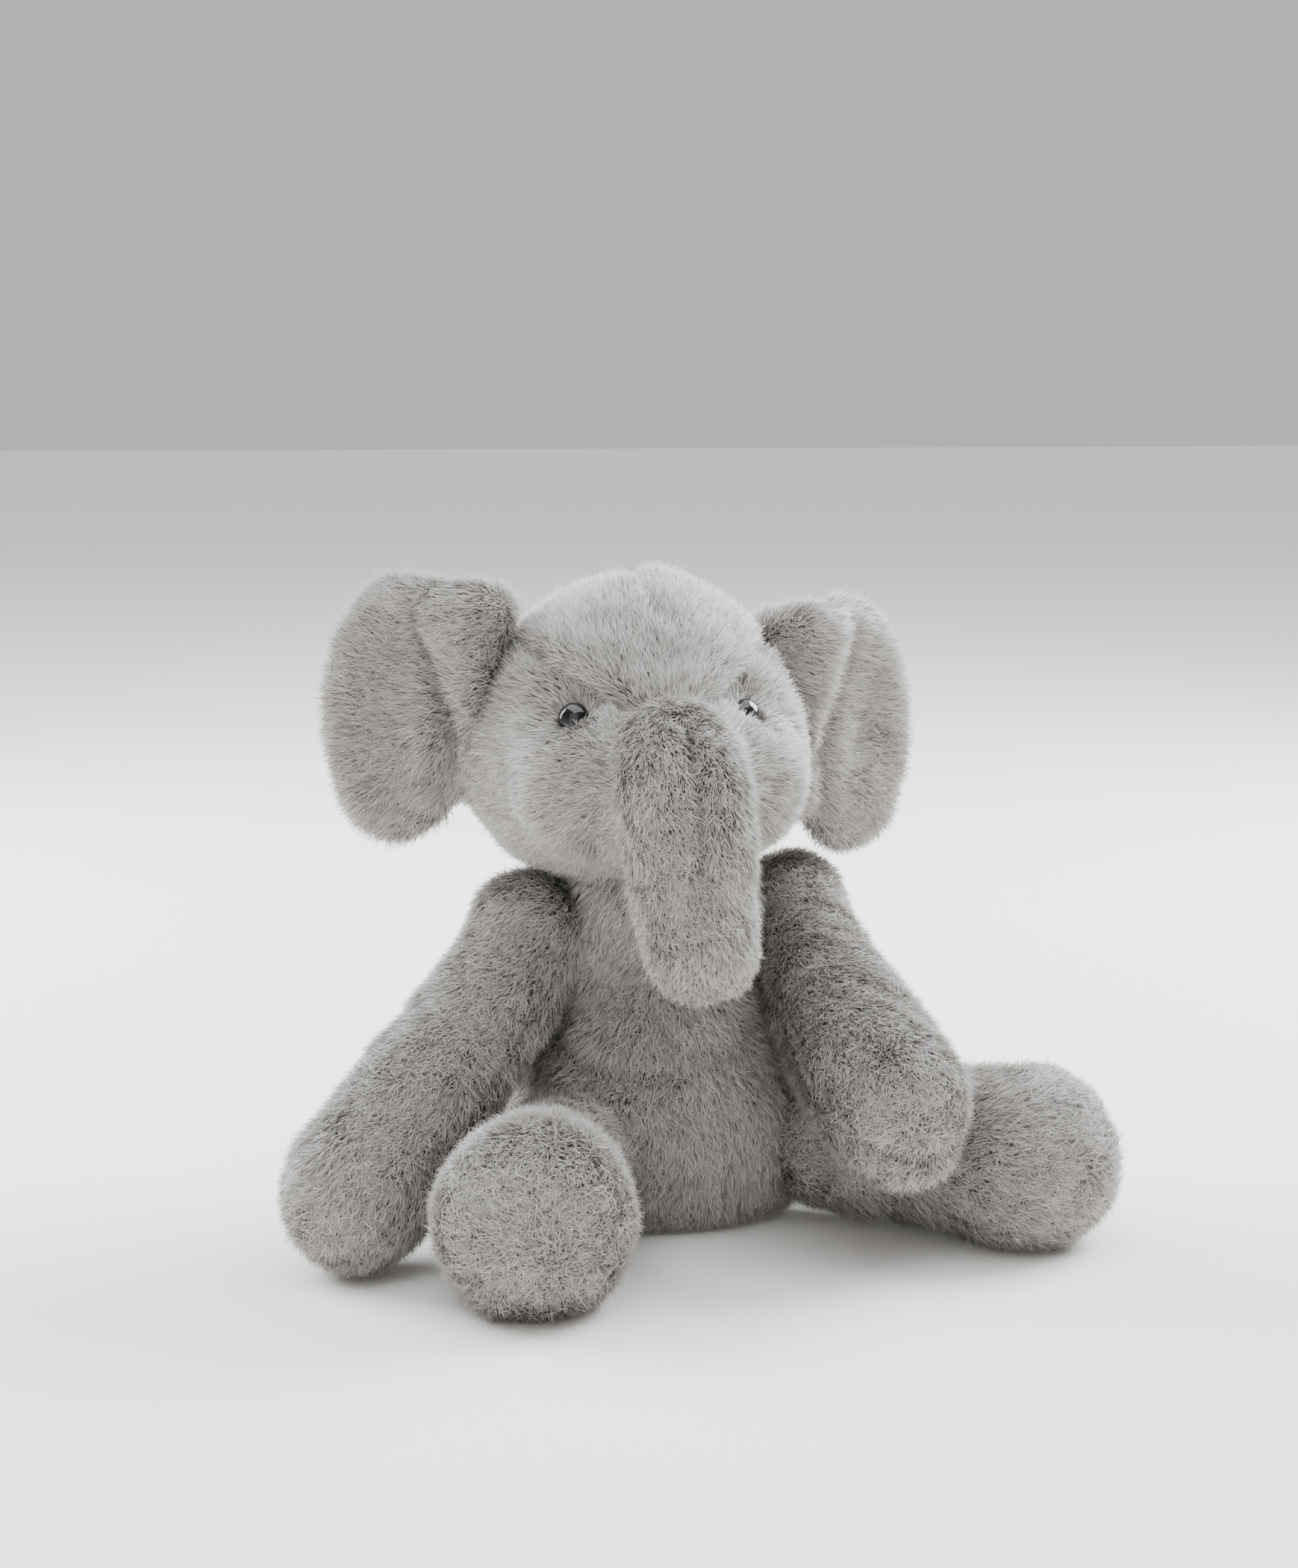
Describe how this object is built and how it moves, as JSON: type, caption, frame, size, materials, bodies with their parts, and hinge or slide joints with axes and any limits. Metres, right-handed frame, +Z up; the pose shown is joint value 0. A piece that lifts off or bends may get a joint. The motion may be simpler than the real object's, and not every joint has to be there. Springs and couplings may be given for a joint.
{
  "type": "stuffed elephant",
  "caption": "Seated plush elephant with padded ears, a curling trunk, sewn-on floppy arms and legs, safety eyes and a weighted seat.",
  "frame": {"origin": "centre of the seat panel's underside, on the surface that the toy sits on", "axes": "+Z up; the toy's chest and face point to -Y; +X is the toy's own left side"},
  "size_m": [0.3076, 0.244, 0.25],
  "materials": {
    "plush": "light grey long-pile faux fur, soft and matt",
    "fibre_fill": "white hollow-fibre polyester filling",
    "calico": "plain woven cotton bag filled with plastic pellets",
    "eye_plastic": "polished black safety eye",
    "washer_plastic": "moulded locking washer",
    "thread": "strong grey sewing thread"
  },
  "bodies": {
    "torso": {"neck_seam_thread": "thread", "seat_panel": "plush", "seat_weight_bag": "calico", "torso_back_cover": "plush", "torso_front_cover": "plush", "torso_stuffing": "fibre_fill"},
    "neck": {"neck_wad": "fibre_fill"},
    "head": {"eye_left": "eye_plastic", "eye_right": "eye_plastic", "eye_washer_left": "washer_plastic", "eye_washer_right": "washer_plastic", "head_crown_cover": "plush", "head_left_cover": "plush", "head_right_cover": "plush", "head_stuffing": "fibre_fill"},
    "trunk": {"trunk_left_cover": "plush", "trunk_right_cover": "plush", "trunk_stuffing": "fibre_fill"},
    "trunk_tip": {"trunk_tip_cover": "plush", "trunk_end_panel": "plush", "trunk_tip_stuffing": "fibre_fill"},
    "tail": {"tail": "plush"},
    "ear_left": {"ear_left_back_cover": "plush", "ear_left_front_cover": "plush", "ear_left_wadding": "fibre_fill"},
    "shoulder_left": {"shoulder_left_wad": "fibre_fill"},
    "arm_left": {"arm_left_stuffing": "fibre_fill", "arm_left_under_cover": "plush", "arm_left_upper_cover": "plush"},
    "hip_left": {"hip_left_wad": "fibre_fill"},
    "leg_left": {"foot_left_sole": "plush", "leg_left_cover": "plush", "leg_left_stuffing": "fibre_fill"},
    "ear_right": {"ear_right_back_cover": "plush", "ear_right_front_cover": "plush", "ear_right_wadding": "fibre_fill"},
    "shoulder_right": {"shoulder_right_wad": "fibre_fill"},
    "arm_right": {"arm_right_stuffing": "fibre_fill", "arm_right_under_cover": "plush", "arm_right_upper_cover": "plush"},
    "hip_right": {"hip_right_wad": "fibre_fill"},
    "leg_right": {"foot_right_sole": "plush", "leg_right_cover": "plush", "leg_right_stuffing": "fibre_fill"}
  },
  "joints": [
    {"name": "neck_turn", "type": "hinge", "parent": "torso", "child": "neck", "pos_m": [-0.005, -0.0035, 0.127], "axis": [0, 0, 1], "range_deg": [-25, 12], "stiffness_Nm_per_rad": 0.6},
    {"name": "neck_nod", "type": "hinge", "parent": "neck", "child": "head", "pos_m": [-0.005, -0.0035, 0.127], "axis": [0.9816, -0.1908, 0], "range_deg": [-8, 8], "stiffness_Nm_per_rad": 3},
    {"name": "ear_left_fold", "type": "hinge", "parent": "head", "child": "ear_left", "pos_m": [0.05521, -0.01297, 0.19], "axis": [0, 0, -1], "range_deg": [-25, 30], "stiffness_Nm_per_rad": 0.05},
    {"name": "ear_right_fold", "type": "hinge", "parent": "head", "child": "ear_right", "pos_m": [-0.07681, 0.01269, 0.2], "axis": [0, 0, 1], "range_deg": [-25, 30], "stiffness_Nm_per_rad": 0.05},
    {"name": "trunk_lift", "type": "hinge", "parent": "head", "child": "trunk", "pos_m": [-0.0247, -0.07059, 0.17231], "axis": [-0.9816, 0.1908, 0], "range_deg": [-3, 50], "stiffness_Nm_per_rad": 0.3},
    {"name": "trunk_curl", "type": "hinge", "parent": "trunk", "child": "trunk_tip", "pos_m": [-0.02962, -0.09384, 0.13974], "axis": [-0.9816, 0.1908, 0], "range_deg": [-15, 20], "stiffness_Nm_per_rad": 0.15},
    {"name": "shoulder_left_swing", "type": "hinge", "parent": "torso", "child": "shoulder_left", "pos_m": [0.055, -0.003, 0.108], "axis": [-1, 0, 0], "range_deg": [0, 30]},
    {"name": "shoulder_left_spread", "type": "hinge", "parent": "shoulder_left", "child": "arm_left", "pos_m": [0.055, -0.003, 0.108], "axis": [-0.6895, -0.2216, 0.6895], "range_deg": [0, 35]},
    {"name": "shoulder_right_swing", "type": "hinge", "parent": "torso", "child": "shoulder_right", "pos_m": [-0.055, -0.003, 0.108], "axis": [-1, 0, 0], "range_deg": [-30, 90]},
    {"name": "shoulder_right_spread", "type": "hinge", "parent": "shoulder_right", "child": "arm_right", "pos_m": [-0.055, -0.003, 0.108], "axis": [0, 0.8752, -0.4837], "range_deg": [0, 30]},
    {"name": "hip_left_lift", "type": "hinge", "parent": "torso", "child": "hip_left", "pos_m": [0.05286, -0.05695, 0.031], "axis": [-0.7431, -0.6691, 0], "range_deg": [-30, 0]},
    {"name": "hip_left_spread", "type": "hinge", "parent": "hip_left", "child": "leg_left", "pos_m": [0.05286, -0.05695, 0.031], "axis": [0, 0, 1], "range_deg": [0, 20]},
    {"name": "hip_right_lift", "type": "hinge", "parent": "torso", "child": "hip_right", "pos_m": [-0.06225, -0.04718, 0.031], "axis": [-0.8746, 0.4848, 0], "range_deg": [-30, 12]},
    {"name": "hip_right_spread", "type": "hinge", "parent": "hip_right", "child": "leg_right", "pos_m": [-0.06225, -0.04718, 0.031], "axis": [0, 0, -1], "range_deg": [-15, 0]},
    {"name": "tail_swing", "type": "hinge", "parent": "torso", "child": "tail", "pos_m": [0, 0.063, 0.044], "axis": [0, 0, 1], "range_deg": [-35, 35], "stiffness_Nm_per_rad": 0.01}
  ]
}
